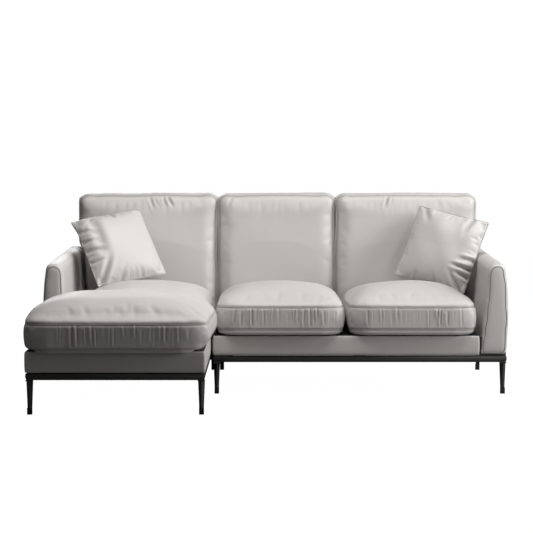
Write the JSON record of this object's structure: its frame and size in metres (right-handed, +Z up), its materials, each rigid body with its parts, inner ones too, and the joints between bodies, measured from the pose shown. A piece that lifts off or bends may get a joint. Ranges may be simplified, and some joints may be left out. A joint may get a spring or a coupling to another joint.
{
  "type": "corner sofa",
  "caption": "Leather corner sofa with a lounger on the left, boxed seat cushions, loose back cushions, throw pillows and slim tapered metal legs.",
  "frame": {"origin": "middle of the footprint's bounding box, on the floor", "axes": "+X to the sitter's left as seen from the front (right in the picture), +Y to the back, +Z up"},
  "size_m": [2.1482, 1.505, 0.914],
  "materials": {
    "leather": "satin",
    "foam": "matte",
    "deck_cloth": "matte",
    "gunmetal": "satin",
    "zinc_steel": "satin",
    "timber": "matte",
    "glide_plastic": "matte",
    "pad_rubber": "matte"
  },
  "bodies": {
    "lounger": {"lounger_front_rail": "gunmetal", "lounger_rear_rail": "gunmetal", "lounger_left_rail": "gunmetal", "lounger_right_rail": "gunmetal", "lounger_front_left_leg": "gunmetal", "lounger_front_right_leg": "gunmetal", "lounger_rear_left_leg": "gunmetal", "lounger_rear_right_leg": "gunmetal", "lounger_glides": "glide_plastic", "lounger_bolts": "zinc_steel", "lounger_pads": "pad_rubber", "lounger_long_beams": "timber", "lounger_side_beams": "timber", "lounger_springs": "zinc_steel", "lounger_deck": "deck_cloth", "lounger_apron": "leather", "lounger_arm_board": "timber", "lounger_arm": "leather", "lounger_back_board": "timber", "lounger_back": "leather", "lounger_tongues": "zinc_steel"},
    "sofa": {"sofa_front_rail": "gunmetal", "sofa_rear_rail": "gunmetal", "sofa_left_rail": "gunmetal", "sofa_right_rail": "gunmetal", "sofa_front_left_leg": "gunmetal", "sofa_front_right_leg": "gunmetal", "sofa_rear_left_leg": "gunmetal", "sofa_rear_right_leg": "gunmetal", "sofa_glides": "glide_plastic", "sofa_bolts": "zinc_steel", "sofa_pads": "pad_rubber", "sofa_long_beams": "timber", "sofa_side_beams": "timber", "sofa_springs": "zinc_steel", "sofa_deck": "deck_cloth", "sofa_apron": "leather", "sofa_arm_board": "timber", "sofa_arm": "leather", "sofa_back_board": "timber", "sofa_back": "leather", "sofa_sockets": "zinc_steel"},
    "lounger_seat": {"lounger_seat_cover": "leather", "lounger_seat_core": "foam"},
    "left_seat": {"left_seat_cover": "leather", "left_seat_core": "foam"},
    "right_seat": {"right_seat_cover": "leather", "right_seat_core": "foam"},
    "left_back": {"left_back_cover": "leather", "left_back_core": "foam"},
    "middle_back": {"middle_back_cover": "leather", "middle_back_core": "foam"},
    "right_back": {"right_back_cover": "leather", "right_back_core": "foam"},
    "left_pillow": {"left_pillow_cover": "leather", "left_pillow_core": "foam"},
    "right_pillow": {"right_pillow_cover": "leather", "right_pillow_core": "foam"}
  },
  "joints": [
    {"name": "lounger_apart", "type": "slide", "parent": "sofa", "child": "lounger", "axis": [-1, 0, 0], "range_m": [0, 0.4]},
    {"name": "lounger_seat_lift", "type": "slide", "parent": "lounger", "child": "lounger_seat", "axis": [0, 0, 1], "range_m": [0, 0.66]},
    {"name": "left_seat_lift", "type": "slide", "parent": "sofa", "child": "left_seat", "axis": [0, 0, 1], "range_m": [0, 0.66]},
    {"name": "right_seat_lift", "type": "slide", "parent": "sofa", "child": "right_seat", "axis": [0, 0, 1], "range_m": [0, 0.66]},
    {"name": "left_back_lift", "type": "slide", "parent": "lounger", "child": "left_back", "axis": [0, 0, 1], "range_m": [0, 0.66]},
    {"name": "middle_back_lift", "type": "slide", "parent": "sofa", "child": "middle_back", "axis": [0, 0, 1], "range_m": [0, 0.66]},
    {"name": "right_back_lift", "type": "slide", "parent": "sofa", "child": "right_back", "axis": [0, 0, 1], "range_m": [0, 0.66]},
    {"name": "left_pillow_lift", "type": "slide", "parent": "lounger_seat", "child": "left_pillow", "axis": [0, 0, 1], "range_m": [0, 0.5]},
    {"name": "right_pillow_lift", "type": "slide", "parent": "right_seat", "child": "right_pillow", "axis": [0, 0, 1], "range_m": [0, 0.5]}
  ]
}
